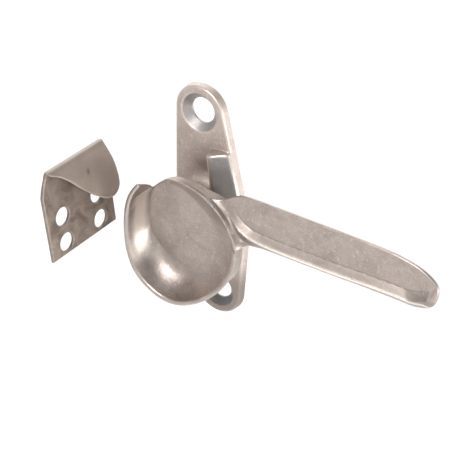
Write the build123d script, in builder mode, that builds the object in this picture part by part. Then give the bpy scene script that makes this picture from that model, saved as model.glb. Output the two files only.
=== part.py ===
"""Crescent (cam) window latch with a hooked keeper, in millimetres.

The base plate lies against the window stile in the plane Y = 0 and its front faces -Y. +Z runs up
along the plate and +X points to the lever's handle. The origin is midway between the two screw
holes, on the mounting plane. "Height" below means the distance in front of the mounting plane, so
a point of height h lies at Y = -h.
"""
from build123d import *
from math import cos, radians, sin
import os

# base plate
hole_half_spacing = 25.5
plate_thickness = 2.4
plate_end_radius = 7.25
plate_middle_radius = 11.0
plate_edge_chamfer = 0.6
screw_hole_radius = 3.3
countersink_radius = 5.15
screw_head_angle = 90.0

# pivot boss, with a pocket behind it for the friction spring
pivot_z = -4.25
boss_radius = 10.4
boss_height = 7.6
boss_edge_radius = 0.8
bore_radius = 3.05
pocket_radius = 7.0
pocket_depth = 4.2

# wedge block on the plate, above and to the right of the boss
wedge_left = 3.0
wedge_right = 8.3
wedge_rise = 3.0
wedge_bottom = 3.0
wedge_top = 16.0
wedge_edge_radius = 0.6
wedge_right_rise = 0.3
wedge_sunk = 1.4

# stop that limits the lever to a quarter turn
swing_angle = 90.0
stop_radius = 7.4
stop_start_angle = 180.0
stop_lug_radius = 0.9
stop_slot_radius = 1.2
stop_slot_depth = 1.6
stop_lug_length = 1.1

# cam lever hub
washer_thickness = 0.6
hub_radius = 9.2
disc_back = 10.5
disc_front = 12.6
disc_radius = 16.2
rim_width = 1.3
wall_overlap = 0.6

# the bowl's rim, as angle round the pivot, outer radius, rim height, and radius of the wall's foot
rim_sections = [
    (119, 17.9, 19.2, 14.8),
    (132, 17.1, 19.3, 14.2),
    (147, 15.9, 19.2, 13.0),
    (163, 15.2, 19.0, 11.9),
    (180, 15.1, 19.0, 11.2),
    (198, 15.6, 19.2, 10.2),
    (216, 16.4, 19.4, 9.0),
    (236, 16.9, 19.4, 8.4),
    (256, 17.0, 19.4, 8.3),
    (275, 16.5, 19.1, 8.4),
    (293, 16.0, 17.9, 8.4),
    (311, 15.7, 16.2, 8.4),
    (330, 15.6, 15.0, 8.4),
    (350, 15.8, 14.5, 8.6),
    (371, 16.2, 14.5, 9.0),
    (393, 16.3, 14.4, 10.4),
    (415, 16.3, 14.3, 12.0),
    (437, 16.3, 13.8, 13.2),
    (456, 16.2, 13.1, 14.0),
]

# handle, in a frame turned down about the pivot: across is measured square to the handle
handle_drop = 6.3
handle_low = 4.7
handle_high = 17.7
handle_tip = 68.0
handle_shoulder = 54.5
handle_back = 10.5
handle_front = 12.4
handle_root = 17.5
neck_along = 8.4
neck_across = 14.0
shoulder_bulge = (4.8, 2.3)
heel_bulge = (0.5, 2.1)
tip_height = 10.4
tip_corner = 3.2
bead_width = 2.3
bead_height = 14.3
bead_start = 14.0
bead_end = 9.0

# pivot stud, its washers and the spring, all on the pivot axis
stud_radius = 3.0
stud_front = 11.4
stud_neck_radius = 2.4
neck_hole_radius = 2.46
stud_shoulder = 2.9
head_radius = 3.9
head_thickness = 0.9
head_back = 0.5
washer_radius = 5.4
washer_hole_radius = 3.1
backing_radius = 5.6
backing_thickness = 0.8
spring_radius = 6.3
spring_thickness = 0.4
spring_hole_radius = 3.2
head_edge_radius = 0.6

# keeper
keeper_face = -23.4
keeper_thickness = 1.0
keeper_centre_y = -23.9
keeper_half_width = 12.3
keeper_bottom = -5.5
keeper_shoulder_z = 12.5
keeper_bend_z = 17.2
keeper_bend_half_width = 9.9
keeper_hole_radius = 2.4
keeper_hole_spacing_y = 13.1
keeper_hole_spacing_z = 7.2
keeper_lower_hole_z = -2.3
hook_gap = 2.2
tongue_tip_z = 3.4
tongue_tip_radius = 4.6
tongue_slant_angle = 48.0


def front_plane(height, centre_z=0.0):
    """A plane at this height in front of the mounting plane, local X right and local Y up."""
    return Plane(origin=(0, -height, centre_z), x_dir=(1, 0, 0), z_dir=(0, -1, 0))


def section_plane(angle):
    """The plane through the pivot axis at this angle: local X is the radius, local Y the height."""
    radial = Vector(cos(radians(angle)), 0, sin(radians(angle)))
    return Plane(origin=(0, 0, pivot_z), x_dir=radial, z_dir=radial.cross(Vector(0, -1, 0)))


def pivot_disc(radius, low, high, hole_radius=0.0):
    """A round piece on the pivot axis between two heights, with an optional hole through it."""
    with BuildPart() as disc:
        with BuildSketch(front_plane(low, pivot_z)):
            Circle(radius)
            if hole_radius:
                Circle(hole_radius, mode=Mode.SUBTRACT)
        extrude(amount=high - low)
    return disc


# ---------------------------------------------------------------- base plate
with BuildPart() as base_plate:
    with BuildSketch(front_plane(0)):
        with Locations((0, hole_half_spacing), (0, -hole_half_spacing)):
            Circle(plate_end_radius)
        with Locations((0, pivot_z)):
            Circle(plate_middle_radius)
        make_hull()
    extrude(amount=plate_thickness)
    chamfer(base_plate.faces().sort_by(Axis.Y)[0].edges(), length=plate_edge_chamfer)

    with BuildSketch(front_plane(plate_thickness, pivot_z)):
        Circle(boss_radius)
    extrude(amount=boss_height - plate_thickness)
    fillet(base_plate.edges().filter_by(GeomType.CIRCLE).sort_by(Axis.Y)[0], radius=boss_edge_radius)

    # the wedge falls from a rounded left edge to nothing at the plate's right side
    with BuildSketch(Plane.XY.offset(wedge_bottom)):
        with BuildLine():
            front_y = -plate_thickness - wedge_rise
            back_y = -plate_thickness + wedge_sunk
            Line((wedge_left, back_y), (wedge_left, front_y + wedge_edge_radius))
            RadiusArc((wedge_left, front_y + wedge_edge_radius), (wedge_left + wedge_edge_radius, front_y),
                      -wedge_edge_radius)
            Polyline((wedge_left + wedge_edge_radius, front_y),
                     (wedge_right, -plate_thickness - wedge_right_rise),
                     (wedge_right, back_y), (wedge_left, back_y))
        make_face()
    extrude(amount=wedge_top - wedge_bottom)

    with Locations(Plane(origin=(0, 0, pivot_z), x_dir=(1, 0, 0), z_dir=(0, 1, 0))):
        CounterBoreHole(bore_radius, pocket_radius, pocket_depth, depth=boss_height)
    for hole_z in (hole_half_spacing, -hole_half_spacing):
        with Locations(front_plane(plate_thickness, hole_z)):
            CounterSinkHole(screw_hole_radius, countersink_radius, counter_sink_angle=screw_head_angle)

    # arc slot for the stop lug, with round ends
    slot_outer = stop_radius + stop_slot_radius
    slot_inner = stop_radius - stop_slot_radius
    with BuildSketch(front_plane(boss_height, pivot_z)):
        with BuildLine():
            CenterArc((0, 0), slot_outer, stop_start_angle, swing_angle)
            CenterArc((0, 0), slot_inner, stop_start_angle, swing_angle)
            Line((-slot_outer, 0), (-slot_inner, 0))
            Line((0, -slot_outer), (0, -slot_inner))
        make_face()
        with Locations((-stop_radius, 0), (0, -stop_radius)):
            Circle(stop_slot_radius)
    extrude(amount=-stop_slot_depth, mode=Mode.SUBTRACT)
base_plate.part.label = "base_plate"

# ---------------------------------------------------------------- cam lever
wall_sag = (0.68, 0.34)
lug_depth = washer_thickness + stop_lug_length
hub_back = boss_height + washer_thickness
turn = radians(-handle_drop)
handle_x_dir = (cos(turn), 0, sin(turn))


def handle_plane(height):
    """A front plane centred on the pivot and turned so that local X runs along the handle."""
    return Plane(origin=(0, -height, pivot_z), x_dir=handle_x_dir, z_dir=(0, -1, 0))


with BuildPart() as cam_lever:
    for angle, outer, height, foot in rim_sections:
        with BuildSketch(section_plane(angle)):
            with BuildLine():
                inner = outer - rim_width
                rise = height - disc_front
                sag = (foot + wall_sag[0] * (inner - foot), disc_front + wall_sag[1] * rise)
                Polyline((foot, disc_front - wall_overlap), (foot, disc_back), (outer, disc_back),
                         (outer, height), (inner, height))
                ThreePointArc((inner, height), sag, (foot, disc_front - wall_overlap))
            make_face()
    loft()

    with BuildSketch(front_plane(disc_back, pivot_z)):
        Circle(disc_radius)
    extrude(amount=disc_front - disc_back)

    with BuildSketch(front_plane(hub_back, pivot_z)):
        Circle(hub_radius)
    extrude(amount=disc_back - hub_back)

    # flat blade, its upper corner well rounded and its lower corner tight
    with BuildSketch(handle_plane(handle_back)) as blade_outline:
        with BuildLine():
            shoulder = (handle_shoulder, handle_high)
            tip = (handle_tip, tip_height)
            heel = (handle_tip - tip_corner, handle_low)
            Polyline(heel, (0, handle_low), (0, neck_across), (neck_along, neck_across),
                     (handle_root, handle_high), shoulder)
            ThreePointArc(shoulder, (handle_tip - shoulder_bulge[0], handle_high - shoulder_bulge[1]), tip)
            ThreePointArc(tip, (handle_tip - heel_bulge[0], handle_low + heel_bulge[1]), heel)
        make_face()
    extrude(amount=handle_front - handle_back)

    # raised bead along the lower edge and round the lower corner of the tip
    with BuildSketch(handle_plane(handle_back)):
        add(blade_outline.sketch_local)
        offset(amount=-bead_width, mode=Mode.SUBTRACT)
        with Locations((0, bead_end)):
            Rectangle(2 * handle_tip, handle_high, align=(Align.CENTER, Align.MIN), mode=Mode.SUBTRACT)
        with Locations((bead_start, 0)):
            Rectangle(handle_root, handle_high, align=(Align.MAX, Align.MIN), mode=Mode.SUBTRACT)
    extrude(amount=bead_height - handle_back)

    # blind hole for the stud, and the lug that runs in the boss's slot
    with BuildSketch(front_plane(hub_back, pivot_z)):
        Circle(stud_radius)
    extrude(amount=stud_front - hub_back, mode=Mode.SUBTRACT)
    with BuildSketch(front_plane(hub_back, pivot_z)):
        with Locations((-stop_radius, 0)):
            Circle(stop_lug_radius)
    extrude(amount=-lug_depth)
cam_lever.part.label = "cam_lever"

# ---------------------------------------------------------------- pivot stud and washers
head_front = head_back + head_thickness
with BuildPart() as pivot_stud:
    with BuildSketch(front_plane(stud_shoulder, pivot_z)):
        Circle(stud_radius)
    extrude(amount=stud_front - stud_shoulder)
    with BuildSketch(front_plane(head_front, pivot_z)):
        Circle(stud_neck_radius)
    extrude(amount=stud_shoulder - head_front)
    with BuildSketch(front_plane(head_back, pivot_z)):
        Circle(head_radius)
    extrude(amount=head_thickness)
    fillet(pivot_stud.edges().sort_by(Axis.Y)[-1], radius=head_edge_radius)
pivot_stud.part.label = "pivot_stud"

thrust_washer = pivot_disc(washer_radius, boss_height, hub_back, washer_hole_radius)
thrust_washer.part.label = "thrust_washer"

backing_washer = pivot_disc(backing_radius, head_front, head_front + backing_thickness, neck_hole_radius)
backing_washer.part.label = "backing_washer"

# domed spring washer between the backing washer and the roof of the pocket
spring_low = head_front + backing_thickness
with BuildPart() as spring_washer:
    with BuildSketch(section_plane(0)):
        with BuildLine():
            Polyline(
                (spring_hole_radius, pocket_depth - spring_thickness),
                (spring_radius, spring_low),
                (spring_radius, spring_low + spring_thickness),
                (spring_hole_radius, pocket_depth),
                close=True,
            )
        make_face()
    revolve(axis=Axis((0, 0, pivot_z), (0, 1, 0)))
spring_washer.part.label = "spring_washer"

# ---------------------------------------------------------------- keeper
keeper_back = keeper_face - keeper_thickness
tongue_inner = keeper_face + hook_gap
tongue_outer = tongue_inner + keeper_thickness
bend_centre_x = keeper_face + hook_gap / 2
front_edge = keeper_centre_y - keeper_half_width
back_edge = keeper_centre_y + keeper_half_width
bend_front = keeper_centre_y - keeper_bend_half_width
bend_back = keeper_centre_y + keeper_bend_half_width
bend_top = keeper_bend_z + hook_gap / 2 + keeper_thickness

with BuildPart() as keeper:
    # side profile of the bent strip, in X and Z, run along the whole width
    with BuildSketch(Plane(origin=(0, front_edge, 0), x_dir=(1, 0, 0), z_dir=(0, -1, 0))):
        with BuildLine():
            Polyline((keeper_face, keeper_bend_z), (keeper_face, keeper_bottom),
                     (keeper_back, keeper_bottom), (keeper_back, keeper_bend_z))
            ThreePointArc((keeper_back, keeper_bend_z), (bend_centre_x, bend_top),
                          (tongue_outer, keeper_bend_z))
            Polyline((tongue_outer, keeper_bend_z), (tongue_outer, tongue_tip_z),
                     (tongue_inner, tongue_tip_z), (tongue_inner, keeper_bend_z))
            ThreePointArc((tongue_inner, keeper_bend_z), (bend_centre_x, bend_top - keeper_thickness),
                          (keeper_face, keeper_bend_z))
        make_face()
    extrude(amount=-2 * keeper_half_width)

    # shoulders that taper the plate into the bend on both sides
    with BuildSketch(Plane.YZ.offset(keeper_back)):
        with BuildLine():
            Polyline((front_edge, keeper_bottom), (back_edge, keeper_bottom),
                     (back_edge, keeper_shoulder_z), (bend_back, keeper_bend_z),
                     (bend_back, bend_top), (bend_front, bend_top),
                     (bend_front, keeper_bend_z), (front_edge, keeper_shoulder_z), close=True)
        make_face()
    extrude(amount=tongue_outer - keeper_back, mode=Mode.INTERSECT)

    # the tongue keeps its back edge, has a round tip and is slanted off at the front
    with BuildSketch(Plane.YZ.offset(bend_centre_x)):
        with BuildLine():
            tip_y = back_edge - tongue_tip_radius
            tip_z = tongue_tip_z + tongue_tip_radius
            slant_y = tip_y - tongue_tip_radius * sin(radians(tongue_slant_angle))
            slant_z = tip_z - tongue_tip_radius * cos(radians(tongue_slant_angle))
            Polyline((back_edge, tip_z), (back_edge, keeper_bottom), (front_edge, keeper_bottom),
                     (front_edge, keeper_bend_z), (bend_front, keeper_bend_z), (slant_y, slant_z))
            ThreePointArc((slant_y, slant_z), (tip_y, tongue_tip_z), (back_edge, tip_z))
        make_face()
    extrude(amount=tongue_outer - bend_centre_x, mode=Mode.SUBTRACT)

    hole_centre_z = keeper_lower_hole_z + keeper_hole_spacing_z / 2
    hole_plane = Plane(origin=(keeper_face, keeper_centre_y, hole_centre_z),
                       x_dir=(0, 1, 0), z_dir=(1, 0, 0))
    with BuildSketch(hole_plane):
        with GridLocations(keeper_hole_spacing_y, keeper_hole_spacing_z, 2, 2):
            Circle(keeper_hole_radius)
    extrude(amount=-keeper_thickness, mode=Mode.SUBTRACT)
keeper.part.label = "keeper"

os.makedirs("parts", exist_ok=True)
for piece in (base_plate, cam_lever, pivot_stud, thrust_washer, backing_washer, spring_washer, keeper):
    export_step(piece.part, f"parts/{piece.part.label}.step")
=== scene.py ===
"""Looks of the cam window latch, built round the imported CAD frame."""
import bpy
import math
import numpy as np
from mathutils import Matrix, Vector


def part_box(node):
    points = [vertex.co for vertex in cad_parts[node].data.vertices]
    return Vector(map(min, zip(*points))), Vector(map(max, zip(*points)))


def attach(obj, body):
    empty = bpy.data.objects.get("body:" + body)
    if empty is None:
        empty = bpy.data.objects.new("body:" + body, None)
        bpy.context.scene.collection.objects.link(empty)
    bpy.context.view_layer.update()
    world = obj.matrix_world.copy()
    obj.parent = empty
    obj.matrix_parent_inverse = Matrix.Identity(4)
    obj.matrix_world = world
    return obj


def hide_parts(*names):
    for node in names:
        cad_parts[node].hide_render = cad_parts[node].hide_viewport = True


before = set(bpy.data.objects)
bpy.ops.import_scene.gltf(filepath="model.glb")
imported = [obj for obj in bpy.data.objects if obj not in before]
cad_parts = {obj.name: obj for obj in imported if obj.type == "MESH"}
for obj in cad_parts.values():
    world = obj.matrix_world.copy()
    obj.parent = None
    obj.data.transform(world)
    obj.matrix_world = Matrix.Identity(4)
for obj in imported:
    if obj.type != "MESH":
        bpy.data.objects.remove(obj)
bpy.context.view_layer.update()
MM = 0.001
PIVOT_Z = -4.25

# ------------------------------------------------------------ field helpers, in millimetres
# A field is negative inside the metal. x is to the right, h is the height in front of the wall, z is up.


def ramp(value, low, high):
    """0 below low, 1 above high, smooth between."""
    t = np.clip((value - low) / (high - low), 0, 1)
    return t * t * (3 - 2 * t)


def meet(a, b, k):
    """Intersection with an edge rounded over about k."""
    h = np.maximum(k - np.abs(a - b), 0)
    return np.maximum(a, b) + h * h / (4 * k)


def join(a, b, k):
    """Union with a fillet of about k."""
    return -meet(-a, -b, k)


def table(rows, column, at):
    """A column of a table as a smooth curve through its rows."""
    rows = np.array(rows, float)
    x, y = rows[:, 0], rows[:, column]
    slope = np.gradient(y, x)
    i = np.clip(np.searchsorted(x, at) - 1, 0, len(x) - 2)
    step = x[i + 1] - x[i]
    t = np.clip((at - x[i]) / step, 0, 1)
    t2, t3 = t * t, t * t * t
    return ((2 * t3 - 3 * t2 + 1) * y[i] + (t3 - 2 * t2 + t) * step * slope[i]
            + (3 * t2 - 2 * t3) * y[i + 1] + (t3 - t2) * step * slope[i + 1])


def curve(points, steps=6, closed=False):
    """Points along a smooth curve through the given ones."""
    p = np.array(points, float)
    p = np.vstack([p[-1], p, p[0], p[1]]) if closed else np.vstack([2 * p[0] - p[1], p, 2 * p[-1] - p[-2]])
    out = []
    for a, b, c, d in zip(p, p[1:], p[2:], p[3:]):
        for t in np.arange(steps) / steps:
            out.append(b + 0.5 * t * (c - a + t * (2 * a - 5 * b + 4 * c - d + t * (3 * (b - c) + d - a))))
    if not closed:
        out.append(p[-2])
    return np.array(out)


def line_distance(x, y, points):
    """Distance in the plane to an open line of points."""
    best = np.full(np.broadcast(x, y).shape, 1e9)
    for (ax, ay), (bx, by) in zip(points, points[1:]):
        dx, dy = bx - ax, by - ay
        t = np.clip(((x - ax) * dx + (y - ay) * dy) / (dx * dx + dy * dy + 1e-12), 0, 1)
        best = np.minimum(best, (x - ax - t * dx) ** 2 + (y - ay - t * dy) ** 2)
    return np.sqrt(best)


def outline_distance(x, y, points):
    """Signed distance in the plane to a closed outline, negative inside."""
    inside = np.zeros(np.broadcast(x, y).shape, bool)
    ring = np.vstack([points, points[:1]])
    for (ax, ay), (bx, by) in zip(ring, ring[1:]):
        if ay != by:
            inside ^= ((ay > y) != (by > y)) & (x < (bx - ax) * (y - ay) / (by - ay) + ax)
    distance = line_distance(x, y, ring)
    return np.where(inside, -distance, distance)


def polar(x, z):
    """Radius and angle about the pivot, in degrees from +X."""
    return np.hypot(x, z - PIVOT_Z), np.degrees(np.arctan2(z - PIVOT_Z, x)) % 360


def mesh_from_field(name, field, low, high, cell):
    """A smooth quad mesh of the field's zero surface (surface nets, then moved onto the surface)."""
    counts = [int(math.ceil((b - a) / cell)) + 3 for a, b in zip(low, high)]
    axes = [a - cell + cell * np.arange(n) + 0.37 * cell for a, n in zip(low, counts)]
    value = field(axes[0][:, None, None], axes[1][None, :, None], axes[2][None, None, :])
    value = np.ascontiguousarray(np.broadcast_to(value, counts))
    solid = value < 0
    nx, ny, nz = counts
    corner = {}
    number = np.zeros((nx - 1, ny - 1, nz - 1), np.int8)
    for i in (0, 1):
        for j in (0, 1):
            for k in (0, 1):
                cut = (slice(i, nx - 1 + i), slice(j, ny - 1 + j), slice(k, nz - 1 + k))
                number += solid[cut]
                corner[i, j, k] = cut
    active = (number > 0) & (number < 8)
    cells = np.argwhere(active)
    index = np.full(active.shape, -1)
    index[active] = np.arange(len(cells))
    at = {c: value[corner[c]][active] for c in corner}
    place = np.zeros((len(cells), 3))
    hits = np.zeros(len(cells))
    for c in corner:
        for axis in range(3):
            if c[axis] == 0:
                d = tuple(v + (n == axis) for n, v in enumerate(c))
                a, b = at[c], at[d]
                crossing = (a < 0) != (b < 0)
                t = np.where(crossing, a / np.where(crossing, a - b, 1), 0)
                point = np.array(c, float) + t[:, None] * np.eye(3)[axis]
                place += np.where(crossing[:, None], point, 0)
                hits += crossing
    points = np.array([a[0] for a in axes]) + cell * (cells + place / hits[:, None])

    quads = []
    for axis in range(3):
        u, v = (axis + 1) % 3, (axis + 2) % 3
        a = np.take(solid, range(counts[axis] - 1), axis)
        b = np.take(solid, range(1, counts[axis]), axis)
        spot = np.argwhere(a != b)
        inside = (spot[:, u] > 0) & (spot[:, v] > 0)
        inside &= (spot[:, u] < counts[u] - 1) & (spot[:, v] < counts[v] - 1)
        spot = spot[inside]
        outward = a[tuple(spot.T)]
        ring = []
        for du, dv in ((1, 1), (0, 1), (0, 0), (1, 0)):
            near = spot.copy()
            near[:, u] -= du
            near[:, v] -= dv
            ring.append(index[tuple(near.T)])
        ring = np.array(ring).T
        quads.append(np.where(outward[:, None], ring, ring[:, ::-1]))
    quads = np.vstack(quads)

    def gradient(p, step=0.02):
        out = np.zeros_like(p)
        for n in range(3):
            shift = step * np.eye(3)[n]
            out[:, n] = field(*(p + shift).T) - field(*(p - shift).T)
        return out / (2 * step)

    for _ in range(3):
        slope = gradient(points)
        move = field(*points.T) / np.maximum((slope ** 2).sum(1), 0.05)
        move = np.clip(move, -0.6 * cell, 0.6 * cell)
        points = points - move[:, None] * slope
    points = np.clip(points, low, high)
    normal = gradient(points, 0.06)
    normal /= np.linalg.norm(normal, axis=1)[:, None] + 1e-9

    mesh = bpy.data.meshes.new(name)
    coordinates = np.column_stack([points[:, 0], -points[:, 1], points[:, 2]]) * MM
    mesh.from_pydata(coordinates.tolist(), [], quads[:, ::-1].tolist())
    mesh.validate()
    mesh.polygons.foreach_set("use_smooth", np.ones(len(mesh.polygons), bool))
    facing = np.column_stack([normal[:, 0], -normal[:, 1], normal[:, 2]])
    mesh.normals_split_custom_set_from_vertices(facing.tolist())
    # "bend" says how convex (positive) or hollow (negative) the surface is, for edge wear and painted shade
    # in hollows
    reach = 0.5
    ahead = np.zeros(len(points))
    for side in range(6):
        turn = side * math.pi / 3
        across = np.cross(normal, [0.31, 0.83, 0.46])
        across /= np.linalg.norm(across, axis=1)[:, None] + 1e-9
        other = np.cross(normal, across)
        ahead += field(*(points + reach * (math.cos(turn) * across + math.sin(turn) * other)).T)
    bend = mesh.attributes.new("bend", "FLOAT", "POINT")
    bend.data.foreach_set("value", np.clip(ahead / 6 / reach * 4, -1, 1).astype(np.float32))
    piece = bpy.data.objects.new(name, mesh)
    bpy.context.scene.collection.objects.link(piece)
    return piece, points


def mark(piece, name, values):
    """A value per vertex for the finish to read."""
    layer = piece.data.attributes.new(name, "FLOAT", "POINT")
    layer.data.foreach_set("value", np.asarray(values, np.float32))


# ------------------------------------------------------------ lever
DISC_BACK, FLOOR = 10.5, 12.6
BLADE_FRONT = 12.4
LIP_RISE = 1.25
LIP_SLOPE = 0.61  # from the crease up to the crest
LIP_FALL = 0.42  # from the crest down to the outer edge
CREASE, CREST = 4.05, 2.0  # how far the crease and the crest lie inside the edge
BLADE_START = 14.6  # radius from the pivot where the blade begins
HUB_RADIUS, HUB_BACK, HUB_TOP = 9.2, 8.2, 11.0
STUD_HOLE, STUD_HOLE_END = 3.02, 11.42
STOP_ORBIT = 7.4  # radius at which the stop lug and its slot run
LUG_RADIUS, LUG_BACK, LUG_TOP = 0.9, 6.5, 9
SEAM = 107.5  # angle where the spiral rim starts at the horn and, a turn later, ends
# the horn's cut-off angle at several heights
HORN_CUT = ((12.6, 14.0, 16.0, 19.3), (125.5, 121.0, 117.5, 115.0))
# the bowl: angle, rim radius, rim height, foot radius, radius behind the rim, rim width, hollow of the wall
BOWL = [
    (110, 19.0, 19.2, 15.6, 15.5, 1.2, 1.15),
    (119, 18.2, 19.35, 15.0, 15.1, 1.2, 1.15),
    (132, 17.1, 19.35, 14.1, 14.8, 1.3, 1.15),
    (147, 15.9, 19.2, 12.4, 14.2, 1.3, 1.15),
    (163, 15.2, 19.0, 11.4, 13.8, 1.3, 1.2),
    (180, 15.1, 19.0, 11.0, 13.7, 1.3, 1.35),
    (198, 15.6, 19.2, 9.9, 14.0, 1.3, 1.8),
    (216, 16.4, 19.4, 8.8, 14.6, 1.3, 2.3),
    (236, 16.9, 19.4, 8.2, 15.0, 1.3, 2.6),
    (256, 17.0, 19.4, 8.0, 15.2, 1.3, 2.6),
    (275, 16.5, 19.1, 8.2, 15.1, 1.3, 2.5),
    (293, 16.0, 17.9, 8.3, 15.0, 1.2, 2.4),
    (311, 15.7, 16.2, 8.3, 15.0, 1.1, 2.2),
    (330, 15.6, 15.0, 8.2, 15.2, 1.0, 2.0),
    (350, 15.8, 14.5, 8.5, 15.6, 0.9, 1.9),
    (371, 16.1, 14.4, 9.4, 15.9, 0.6, 1.5),
    (393, 16.1, 14.4, 10.6, 16.0, 0.4, 1.35),
    (415, 16.1, 14.3, 11.2, 16.1, 0.4, 1.3),
    (428, 16.2, 14.1, 11.8, 16.1, 0.4, 1.3),
    (441, 16.2, 13.8, 13.0, 16.0, 0.4, 1.3),
    (456, 16.2, 13.3, 14.3, 16.0, 0.4, 1.2),
    (466, 16.0, 12.75, 15.0, 15.8, 0.4, 1.1),
    (470, 15.8, 12.6, 15.2, 15.6, 0.4, 1.1),
]
# edge of the flat disc: angle, radius
DISC = [(0, 15.7), (40, 16.2), (74, 16.2), (90, 16.1), (101, 15.9), (110, 15.6), (121, 15.2), (133, 14.9),
        (160, 13.9), (180, 13.7), (215, 14.6), (250, 15.1), (300, 15.0), (360, 15.7)]
HANDLE_DROP = math.radians(6.3)
# outline of the blade, and the lower and end edges its lip follows, in the handle's own axes
BLADE = curve([(2, 5.2), (12, 4.6), (18, 4.4), (26, 4.8), (41, 5.0), (48, 5.2), (56, 5.3), (62, 5.2),
               (65.2, 5.7), (67.1, 7.4), (67.8, 9.9), (67.6, 12.2), (66.0, 14.2), (62.6, 16.0),
               (58.5, 17.0), (54, 17.5), (43, 17.8), (30, 17.95), (17.6, 18.0), (14.2, 17.0),
               (11.4, 15.3), (9.2, 14.3), (7.2, 13.6), (4, 12), (0, 10)], 5, True)
LIP = curve([(11.6, 9.9), (13.0, 8.6), (14.6, 7.3), (16.8, 6.1), (19.5, 5.4), (26, 5.0), (41, 5.0),
             (48, 5.2), (56, 5.3), (62, 5.2), (64.6, 5.5)], 5)
LIP_END = curve([(64.6, 5.5), (67.1, 7.4), (67.8, 9.9), (67.6, 12.2), (66.0, 14.2)], 5)


def handle_frame(x, z):
    """Along and across the handle, which hangs a little below +X."""
    w = z - PIVOT_Z
    c, s = math.cos(HANDLE_DROP), math.sin(HANDLE_DROP)
    return x * c - w * s, x * s + w * c


def lever_field(x, h, z):
    """The lever casting: bowl with rim and horn, disc, blade with its lip, hub."""
    r, angle = polar(x, z)
    turn = np.where(angle < SEAM, angle + 360, angle)
    rim, top, foot, behind, width, hollow = (table(BOWL, n, turn) for n in range(1, 7))
    disc = np.interp(angle, *np.array(DISC).T)
    # bowl: floor, hollow wall, rim
    inner = rim - width
    rise = np.maximum(top - FLOOR, 0.01)
    t = np.maximum((r - foot) / (inner - foot), 0)
    wall = FLOOR + rise * t ** hollow
    steep = rise * hollow * np.maximum(t, 1e-3) ** (hollow - 1) / (inner - foot)
    front = (h - wall) / np.sqrt(1 + np.where(t > 0, steep, 0) ** 2)
    edge = 0.2 + 0.3 * ramp(top, 14.0, 17.0)
    front = meet(front, h - top, edge)
    # outer side, leaning out towards the rim
    lean = np.clip((h - DISC_BACK - 1) / np.maximum(top - DISC_BACK - 1, 1), 0, 1.05)
    outer = (r - behind - (rim - behind) * lean ** 0.85) * 0.95
    bowl = meet(meet(front, outer, edge + 0.05), DISC_BACK - h, 0.6)
    # the horn is cut off obliquely
    cut = np.interp(h, *HORN_CUT)
    end = r * np.sin(np.radians(np.clip(cut - angle, -60, 60)))
    near = (angle > 80) & (angle < 185)
    bowl = np.where(near & (angle > SEAM), meet(bowl, end, 0.7), bowl)
    plate = meet(meet(h - FLOOR, r - disc, 0.5), DISC_BACK - h, 0.6)
    body = np.minimum(bowl, plate)
    # blade with its raised lip
    along, across = handle_frame(x, z)
    side = outline_distance(along, across, BLADE)
    inset = join(line_distance(along, across, LIP), line_distance(along, across, LIP_END), 2.5)
    inset = np.maximum(inset, 0)
    fade = ramp(-across, -13.5, -8.5)
    lip = np.minimum(LIP_SLOPE * (CREASE - inset), LIP_RISE - LIP_FALL * np.maximum(CREST - inset, 0))
    lip = np.maximum(lip, 0) * np.where(along < 30, 1.0, fade) * ramp(along, 12.2, 16.5)
    soft = 0.5 + 1.3 * (1 - ramp(inset, 0.8, 3.4)) * fade
    # the lip's slopes are scaled to stay close to a true distance
    face = (h - BLADE_FRONT - lip) * np.where((lip > 0) & (inset > 1.95), 0.85, 0.95)
    blade = meet(meet(side, face, soft), DISC_BACK - h, 2.4)
    blade = np.maximum(blade, BLADE_START - r)
    fillet = (2.2 + 1.2 * ramp(-across, -7.5, -5.0)) * ramp(r, BLADE_START, 16.4)
    body = join(body, blade, 0.3 + fillet)
    # hub behind the disc, stud hole and stop lug
    hub = meet(r - HUB_RADIUS, HUB_BACK - h, 0.5)
    hub = np.maximum(hub, h - HUB_TOP)
    body = join(body, hub, 0.5)
    body = np.maximum(body, -np.maximum(r - STUD_HOLE, h - STUD_HOLE_END))
    lug = np.hypot(x + STOP_ORBIT, z - PIVOT_Z) - LUG_RADIUS
    lug = np.maximum(np.maximum(lug, LUG_BACK - h), h - LUG_TOP)
    return join(body, lug, 0.15)


# ------------------------------------------------------------ base
PLATE_TOP = 2.4
SCREW_Z = 25.5
SCREW_HOLE, COUNTERSINK = 3.3, 5.15
BOSS_RADIUS, BOSS_TOP, BOSS_FILLET = 10.3, 7.6, 4.2
POCKET_RADIUS, POCKET_DEPTH = 7.0, 4.2
BORE_RADIUS = 3.05
SLOT_HALF_WIDTH, SLOT_FLOOR = 1.2, 6.0
WEDGE_LEFT, WEDGE_FACET_X, WEDGE_HEIGHT, WEDGE_SLOPE = 2.2, 3.6, 5.5, 0.48
WEDGE_TOP, WEDGE_BOTTOM = 16.5, 1.5


def tapered(x, z, end=7.25, middle=11.0, half=SCREW_Z):
    """Distance to the plate's outline: three circles and their common tangents."""
    out = None
    for sign in (1, -1):
        reach = half - sign * PIVOT_Z
        px, pz = np.abs(x), sign * (z - PIVOT_Z)
        b = (middle - end) / reach
        a = math.sqrt(1 - b * b)
        k = -b * px + a * pz
        d = np.where(k < 0, np.hypot(px, pz) - middle,
                     np.where(k > a * reach, np.hypot(px, pz - reach) - end, a * px + b * pz - middle))
        out = d if out is None else np.minimum(out, d)
    return out


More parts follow.
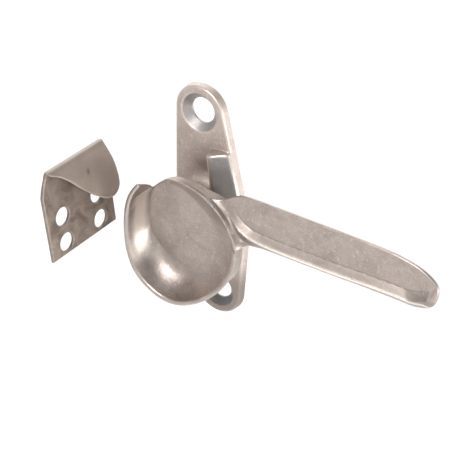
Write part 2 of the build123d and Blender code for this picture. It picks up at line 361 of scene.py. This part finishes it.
def base_field(x, h, z):
    """The base casting: plate, boss, wedge block, screw holes, pocket and stop slot."""
    r, angle = polar(x, z)
    side = tapered(x, z) + 0.1 * h
    boss = meet(r - BOSS_RADIUS + 0.04 * h, h - BOSS_TOP, 0.8)
    front = join(h - PLATE_TOP, boss, BOSS_FILLET)
    # wedge block: sloping facet, left wall, slightly arched top, each over the length of its slope
    rise = h - PLATE_TOP
    facet = ((h - WEDGE_HEIGHT) + WEDGE_SLOPE * (x - WEDGE_FACET_X)) / 1.11
    top = (z - WEDGE_TOP + 0.25 * rise + 0.03 * (x - 5.0) ** 2) / 1.04
    block = meet(meet(facet, WEDGE_LEFT - x + 0.2 * rise, 1.9), top, 0.4)
    front = join(front, np.maximum(block, WEDGE_BOTTOM - z), 0.5)
    body = meet(meet(front, side, 0.55), -h, 0.25)
    for centre in (SCREW_Z, -SCREW_Z):
        s = np.hypot(x, z - centre)
        hole = np.minimum(s - SCREW_HOLE, (s - COUNTERSINK + (PLATE_TOP - h)) / math.sqrt(2))
        body = meet(body, -hole, 0.22)
    # pocket behind, bore for the stud, and the stop slot round it
    body = meet(body, -np.maximum(r - POCKET_RADIUS, h - POCKET_DEPTH), 0.25)
    body = np.maximum(body, BORE_RADIUS - r)
    arc = np.radians(np.clip(angle, 180, 270))
    arc_x, arc_z = STOP_ORBIT * np.cos(arc), PIVOT_Z + STOP_ORBIT * np.sin(arc)
    slot = np.maximum(np.hypot(x - arc_x, z - arc_z) - SLOT_HALF_WIDTH, SLOT_FLOOR - h)
    return meet(body, -slot, 0.15)


# ------------------------------------------------------------ keeper
SHEET = 1.0
KEEPER_HOLE = 2.4
KEEPER_HOLE_Y, KEEPER_HOLE_Z = (-30.45, -17.35), (-2.3, 4.9)
BEND_X = -22.6  # the plate's holes stop here, short of the tongue
# middle line of the bent sheet in X and Z, then the outlines of plate and tongue in Y and Z
STRIP = np.vstack([[(-23.9, -7.0)],
                   curve([(-23.9, 0), (-23.9, 10), (-23.9, 15.9), (-23.75, 17.4), (-23.2, 18.35),
                          (-22.5, 18.3), (-21.95, 17.3), (-21.45, 15.2), (-21.0, 11.5), (-20.75, 7.5),
                          (-20.7, 4.0), (-20.7, 1.5)], 8)])
BODY_OUTLINE = [(-36.15, -5.5), (-11.65, -5.5), (-11.65, 12.3), (-12.3, 14.2), (-13.9, 17.0),
                (-14.1, 20), (-33.9, 20), (-34.1, 17.0), (-35.5, 14.2), (-36.15, 12.3)]
TONGUE = curve([(-14.0, 21), (-13.8, 18.2), (-13.2, 15.8), (-12.4, 13.2), (-11.9, 10.4), (-11.65, 7.6),
                (-11.9, 5.6), (-13.0, 4.2), (-14.6, 3.6), (-16.9, 4.1), (-19.2, 5.5), (-21.6, 7.3),
                (-25.6, 11.0), (-28.6, 14.2), (-31.6, 16.7), (-33.9, 18.1), (-34.0, 21)], 6, True)


def keeper_field(x, h, z):
    """The keeper: one bent sheet, cut to the plate's outline and to the tongue's."""
    y = -h
    sheet = line_distance(x, z, STRIP) - SHEET / 2
    plate = outline_distance(y, z, np.array(BODY_OUTLINE))
    tongue = outline_distance(y, z, TONGUE)
    split = ramp(x, -23.3, -22.7)
    shape = plate * (1 - split) + tongue * split
    body = meet(sheet, shape, 0.4)
    for cy in KEEPER_HOLE_Y:
        for cz in KEEPER_HOLE_Z:
            hole = np.maximum(np.hypot(y - cy, z - cz) - KEEPER_HOLE, x - BEND_X)
            body = meet(body, -hole, 0.3)
    return body


# ------------------------------------------------------------ materials
def nodes_of(name):
    material = bpy.data.materials.new(name)
    material.use_nodes = True
    tree = material.node_tree
    shader = next(n for n in tree.nodes if n.type == "BSDF_PRINCIPLED")

    def add(kind, **settings):
        node = tree.nodes.new(kind)
        for key, value in settings.items():
            if key in node.inputs:
                node.inputs[key].default_value = value
            else:
                setattr(node, key, value)
        return node

    def noise(scale, detail=3.0, rough=0.55, warp=0.0):
        node = add("ShaderNodeTexNoise", Scale=scale, Detail=detail, Roughness=rough, Distortion=warp)
        tree.links.new(place.outputs["Object"], node.inputs["Vector"])
        return node.outputs["Fac"]

    def spread(source, low, high, a=0.0, b=1.0):
        node = add("ShaderNodeMapRange")
        tree.links.new(source, node.inputs["Value"])
        for key, value in (("From Min", low), ("From Max", high), ("To Min", a), ("To Max", b)):
            node.inputs[key].default_value = value
        return node.outputs["Result"]

    def blend(factor, a, b, kind="MIX"):
        node = add("ShaderNodeMix", data_type="RGBA", blend_type=kind)
        for socket, value in ((node.inputs[0], factor), (node.inputs[6], a), (node.inputs[7], b)):
            if isinstance(value, (tuple, float, int)):
                socket.default_value = (*value, 1) if isinstance(value, tuple) else value
            else:
                tree.links.new(value, socket)
        return node.outputs[2]

    def math_node(kind, a, b):
        node = add("ShaderNodeMath", operation=kind)
        for socket, value in ((node.inputs[0], a), (node.inputs[1], b)):
            if isinstance(value, (float, int)):
                socket.default_value = value
            else:
                tree.links.new(value, socket)
        return node.outputs[0]

    def layer(attribute):
        return add("ShaderNodeAttribute", attribute_name=attribute).outputs["Fac"]

    def bump(height, strength, distance, under=None):
        node = add("ShaderNodeBump", Strength=strength, Distance=distance)
        tree.links.new(height, node.inputs["Height"])
        if under:
            tree.links.new(under, node.inputs["Normal"])
        return node.outputs["Normal"]

    place = add("ShaderNodeTexCoord")
    kit = dict(noise=noise, spread=spread, blend=blend, math=math_node, layer=layer, bump=bump)
    return material, tree, shader, kit


def times(colour, factor):
    return tuple(min(1, factor * c) for c in colour)


def cast_metal(name, light, dark, low_rough, high_rough):
    """Tumbled cast metal: warm grey with mottling, fine grain, worn edges and painted shade in hollows."""
    material, tree, shader, k = nodes_of(name)
    mottle = k["noise"](260, 5.0, 0.62, 0.6)
    grain = k["noise"](3200, 3.0, 0.6)
    cloud = k["noise"](90, 2.0, 0.5)
    fleck = k["noise"](1500, 2.0, 0.5)
    colour = k["blend"](k["spread"](mottle, 0.38, 0.64), dark, light)
    colour = k["blend"](k["spread"](grain, 0.35, 0.72, 0.0, 0.5), colour, times(dark, 0.66))
    colour = k["blend"](k["spread"](fleck, 0.62, 0.72, 0.0, 0.5), colour, times(light, 1.5))
    colour = k["blend"](k["spread"](cloud, 0.4, 0.62, 0.0, 0.3), colour, times(light, 1.07))
    bend = k["layer"]("bend")
    # painted shade darkens the hollows, then worn convex edges are made lighter
    colour = k["blend"](k["spread"](bend, -0.1, -0.7, 0.0, 0.45), colour, times(dark, 0.5))
    colour = k["blend"](k["spread"](bend, 0.12, 0.6, 0.0, 0.5), colour, times(light, 1.18))
    # marks carried by the mesh: painted highlight (also made smoother), painted shade and a keeper pit,
    # painted bluish reflection, rough flash
    colour = k["blend"](k["layer"]("polish"), colour, (0.96, 0.88, 0.8))
    colour = k["blend"](k["layer"]("stain"), colour, (0.2, 0.17, 0.15))
    colour = k["blend"](k["layer"]("cool"), colour, (0.27, 0.28, 0.29))
    rough = k["spread"](mottle, 0.3, 0.7, low_rough, high_rough)
    rough = k["math"]("ADD", rough, k["spread"](grain, 0.3, 0.7, -0.05, 0.08))
    rough = k["math"]("ADD", rough, k["math"]("MULTIPLY", k["layer"]("coarse"), 0.15))
    rough = k["math"]("SUBTRACT", rough, k["spread"](bend, 0.1, 0.7, 0.0, 0.1))
    rough = k["math"]("SUBTRACT", rough, k["math"]("MULTIPLY", k["layer"]("polish"), 0.1))
    tree.links.new(colour, shader.inputs["Base Color"])
    tree.links.new(rough, shader.inputs["Roughness"])
    shader.inputs["Metallic"].default_value = 1.0
    normal = k["bump"](k["noise"](1100, 4.0, 0.6), 0.26, 0.0002)
    normal = k["bump"](grain, 0.2, 0.0001, normal)
    pitted = k["math"]("MULTIPLY", k["noise"](2600, 2.0, 0.7), k["layer"]("coarse"))
    normal = k["bump"](pitted, 0.9, 0.0004, normal)
    tree.links.new(normal, shader.inputs["Normal"])
    return material


def sheet_metal(name):
    """Stamped sheet steel: darker, brownish, stained."""
    material, tree, shader, k = nodes_of(name)
    mottle = k["noise"](230, 6.0, 0.65, 0.8)
    grain = k["noise"](2600, 3.0, 0.65)
    cloud = k["noise"](75, 3.0, 0.5, 0.4)
    colour = k["blend"](k["spread"](mottle, 0.4, 0.62), (0.16, 0.127, 0.105), (0.31, 0.255, 0.215))
    colour = k["blend"](k["spread"](cloud, 0.42, 0.66, 0.0, 0.5), colour, (0.37, 0.31, 0.265))
    colour = k["blend"](k["spread"](grain, 0.4, 0.75, 0.0, 0.4), colour, (0.13, 0.1, 0.085))
    bend = k["layer"]("bend")
    colour = k["blend"](k["spread"](bend, 0.15, 0.7, 0.0, 0.2), colour, (0.5, 0.46, 0.42))
    colour = k["blend"](k["math"]("MULTIPLY", k["layer"]("worn"), 0.55), colour, (0.5, 0.43, 0.38))
    colour = k["blend"](k["layer"]("stain"), colour, (0.07, 0.06, 0.052))
    rough = k["spread"](mottle, 0.3, 0.7, 0.42, 0.58)
    tree.links.new(colour, shader.inputs["Base Color"])
    tree.links.new(rough, shader.inputs["Roughness"])
    shader.inputs["Metallic"].default_value = 1.0
    normal = k["bump"](k["noise"](900, 4.0, 0.6), 0.14, 0.0002)
    normal = k["bump"](grain, 0.14, 0.0001, normal)
    tree.links.new(normal, shader.inputs["Normal"])
    return material


def plain_finish(name, a, b, metallic, low_rough, high_rough, scale=500):
    """Hidden turned and stamped pieces: one tone varied by fine noise, with a light bump."""
    material, tree, shader, k = nodes_of(name)
    fine = k["noise"](scale, 4.0, 0.6)
    broad = k["noise"](scale / 4, 3.0, 0.5)
    colour = k["blend"](k["spread"](broad, 0.35, 0.65), a, b)
    colour = k["blend"](k["spread"](fine, 0.4, 0.7, 0.0, 0.35), colour, times(a, 0.7))
    tree.links.new(colour, shader.inputs["Base Color"])
    tree.links.new(k["spread"](fine, 0.3, 0.7, low_rough, high_rough), shader.inputs["Roughness"])
    shader.inputs["Metallic"].default_value = metallic
    tree.links.new(k["bump"](fine, 0.1, 0.0001), shader.inputs["Normal"])
    return material


# ------------------------------------------------------------ pieces
def box_mm(node):
    """Low and high corners of a CAD piece in this script's x, h, z."""
    low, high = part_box(node)
    return ([low.x / MM, -high.y / MM, low.z / MM], [high.x / MM, -low.y / MM, high.z / MM])


CASTING_CELL, SHEET_CELL = 0.25, 0.22
CAST_LIGHT, CAST_DARK = (0.43, 0.372, 0.338), (0.33, 0.281, 0.254)
PLATE_LIGHT, PLATE_DARK = (0.62, 0.54, 0.493), (0.5, 0.428, 0.388)

lever, spots = mesh_from_field("lever_casting", lever_field, *box_mm("cam_lever"), CASTING_CELL)
x, h, z = spots.T
r, angle = polar(x, z)
turn = np.where(angle < SEAM, angle + 360, angle)
# casting flash along the low part of the rim
flash = np.exp(-((r - 16.0) / 0.45) ** 2) * ramp(h, 13.2, 13.8)
flash = flash * ramp(turn, 380, 392) * (1 - ramp(turn, 452, 462))
# painted shadow high on the bowl's wall under the rim, and painted shade on a patch lower down
painted_wall_shadow = np.exp(-((h - 17.8) / 0.9) ** 2) * (r < 14.2)
painted_wall_shadow = painted_wall_shadow * ramp(turn, 133, 140) * (1 - ramp(turn, 198, 215))
painted_low_shade = np.exp(-((turn - 222) / 17) ** 2 - ((h - 16.6) / 1.3) ** 2) * (r < 15.6)
along, across = handle_frame(x, z)
# the lip: painted highlight on the crest, painted shade on the side under it and on the slope behind it
inset = line_distance(along, across, LIP)
painted_crest_highlight = 0.7 * np.exp(-((inset - CREST) / 0.35) ** 2) * ramp(along, 14, 20) * (h > 12.8)
under = (1 - ramp(inset, 1.2, 1.7)) * ramp(along, 15, 20) * (1 - ramp(along, 58, 64)) * (h > 8)
painted_band_shade = ramp(inset, 2.1, 2.4) * (1 - ramp(inset, 3.9, 4.2)) * ramp(along, 15, 20) * (h > 12.3)
# painted highlight on the inner wall below the horn
sheen = ramp(turn, 108, 124) * (1 - ramp(turn, 175, 225)) * (r < 15.4)
sheen = sheen * ramp(h, 12.8, 14.6) * (1 - ramp(h, 16.4, 18.9))
# painted shade for the lever: shadow under the rim, the lower patch, the lip's slope and its underside
painted_shade = np.maximum(np.maximum(0.55 * painted_wall_shadow, 0.7 * painted_low_shade), np.maximum(0.42 * painted_band_shade, 0.55 * under))
mark(lever, "coarse", flash)
mark(lever, "stain", painted_shade)
# painted highlight on the crest and on the wall below the horn, also made smoother
mark(lever, "polish", np.maximum(painted_crest_highlight, 0.7 * sheen))
lever.data.materials.append(cast_metal("cast_lever_finish", CAST_LIGHT, CAST_DARK, 0.36, 0.46))
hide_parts("cam_lever")
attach(lever, "lever")

base, spots = mesh_from_field("base_casting", base_field, *box_mm("base_plate"), CASTING_CELL)
x, h, z = spots.T
r, angle = polar(x, z)
# painted bluish dark reflection on the wedge facet and countersinks, painted shadow above the lever, and
# painted shade on the lower end
facet = ramp(x, 3.6, 4.6) * ramp(h, 2.55, 2.8) * ramp(z, 1.5, 3.0)
facet = facet * (1 - ramp(z, 15.2, 15.8)) * (r > 10.5)
painted_shadow = np.exp(-((x + 0.2) / 3.2) ** 2 - ((z - 11.6) / 1.6) ** 2) * (h > 2.0)
mark(base, "coarse", 0.25 * facet)
painted_lower_end_shade = 0.8 * (1 - ramp(z, -24.0, -14.0)) * (r > 10.5)
mark(base, "stain", np.maximum(0.5 * painted_shadow, painted_lower_end_shade))
sunk = sum(ramp(COUNTERSINK + 0.15 - np.hypot(x, z - centre), 0.0, 0.2) for centre in (SCREW_Z, -SCREW_Z))
sunk = sunk * (h < PLATE_TOP - 0.1)
mark(base, "cool", np.maximum(0.7 * facet, 0.6 * sunk))
base.data.materials.append(cast_metal("cast_base_finish", PLATE_LIGHT, PLATE_DARK, 0.46, 0.56))
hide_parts("base_plate")
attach(base, "base")

keeper, spots = mesh_from_field("keeper_sheet", keeper_field, *box_mm("keeper"), SHEET_CELL)
x, h, z = spots.T
# one small pit on the tongue, and a lighter, rubbed bend and tongue
pit = np.exp(-((h - 22.0) / 0.5) ** 2 - ((z - 14.0) / 0.8) ** 2) * (x > -22)
mark(keeper, "worn", ramp(x, -23.6, -22.6))
mark(keeper, "stain", 0.6 * pit)
keeper.data.materials.append(sheet_metal("sheet_steel_finish"))
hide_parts("keeper")
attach(keeper, "keeper")

# pieces that keep their CAD shape
steel = plain_finish("turned_steel_finish", (0.42, 0.4, 0.38), (0.55, 0.53, 0.5), 1.0, 0.3, 0.42)
spring = plain_finish("spring_steel_finish", (0.3, 0.29, 0.29), (0.4, 0.39, 0.38), 1.0, 0.28, 0.4, 700)
nylon = plain_finish("washer_plastic_finish", (0.55, 0.53, 0.48), (0.66, 0.64, 0.58), 0.0, 0.45, 0.6, 400)
HIDDEN = {"pivot_stud": steel, "backing_washer": steel, "spring_washer": spring, "thrust_washer": nylon}
for node, finish in HIDDEN.items():
    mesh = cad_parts[node].data
    mesh.materials.clear()
    mesh.materials.append(finish)

# ------------------------------------------------------------ floor, light, camera
FLOOR_Z = -0.11
FLOOR_REACH = 6.0
mesh = bpy.data.meshes.new("floor")
corners = [(FLOOR_REACH * a, FLOOR_REACH * b, FLOOR_Z) for a, b in ((-1, -1), (1, -1), (1, 1), (-1, 1))]
mesh.from_pydata(corners, [], [(0, 1, 2, 3)])
floor = bpy.data.objects.new("floor", mesh)
bpy.context.scene.collection.objects.link(floor)
paper, tree, shader, k = nodes_of("floor_paper")
pale = k["blend"](k["noise"](8, 2.0), (0.93, 0.93, 0.93), (0.95, 0.95, 0.95))
tree.links.new(pale, shader.inputs["Base Color"])
shader.inputs["Roughness"].default_value = 0.9
floor.data.materials.append(paper)

world = bpy.data.worlds.new("studio")
bpy.context.scene.world = world
world.use_nodes = True
sky = world.node_tree
background = sky.nodes["Background"]
background.inputs["Color"].default_value = (1, 1, 1, 1)
where = sky.nodes.new("ShaderNodeTexCoord")
parts = sky.nodes.new("ShaderNodeSeparateXYZ")
fall = sky.nodes.new("ShaderNodeMapRange")
fall.interpolation_type = "SMOOTHSTEP"
sky.links.new(where.outputs["Generated"], parts.inputs[0])
sky.links.new(parts.outputs["Z"], fall.inputs["Value"])
# brighter near the horizon than overhead
for socket, value in (("From Min", 0.1), ("From Max", 0.75), ("To Min", 0.95), ("To Max", 0.4)):
    fall.inputs[socket].default_value = value
sky.links.new(fall.outputs["Result"], background.inputs["Strength"])

CENTRE = Vector((0.01, -0.012, -0.002))  # what the lamps aim at


def softbox(name, direction, distance, width, height, watts):
    """A rectangular area lamp aimed at the lock."""
    light = bpy.data.lights.new(name, "AREA")
    light.shape = "RECTANGLE"
    light.size, light.size_y = width, height
    light.energy = watts
    lamp = bpy.data.objects.new(name, light)
    aim = Vector(direction).normalized()
    lamp.location = CENTRE + distance * aim
    lamp.rotation_euler = aim.to_track_quat("Z", "Y").to_euler()
    lamp.visible_camera = False
    bpy.context.scene.collection.objects.link(lamp)


softbox("key_front_top", (0.1, -0.72, 0.6), 0.8, 0.3, 0.3, 5.0)
softbox("wash_back", (-0.4, 0.75, 0.62), 1.2, 1.5, 1.4, 11.0)
softbox("right_low", (0.9, 0.1, -0.25), 0.3, 0.24, 0.1, 0.6)
softbox("bounce_low", (-0.3, -0.02, -0.95), 0.1, 0.19, 0.04, 0.018)

camera_data = bpy.data.cameras.new("camera")
camera_data.sensor_width = 36.0
camera_data.lens = 94.35
camera_data.clip_start = 0.01
camera = bpy.data.objects.new("camera", camera_data)
right = Vector((0.8206, 0.5656, -0.0818)).normalized()
back = Vector((0.5261, -0.6918, 0.4947))
back = (back - right * back.dot(right)).normalized()
up = back.cross(right)
camera.matrix_world = Matrix((right, up, back)).transposed().to_4x4()
camera.location = (0.16176, -0.20895, 0.14294)
bpy.context.scene.collection.objects.link(camera)
bpy.context.scene.camera = camera
bpy.context.scene.view_settings.view_transform = "Standard"

bpy.context.view_layer.update()
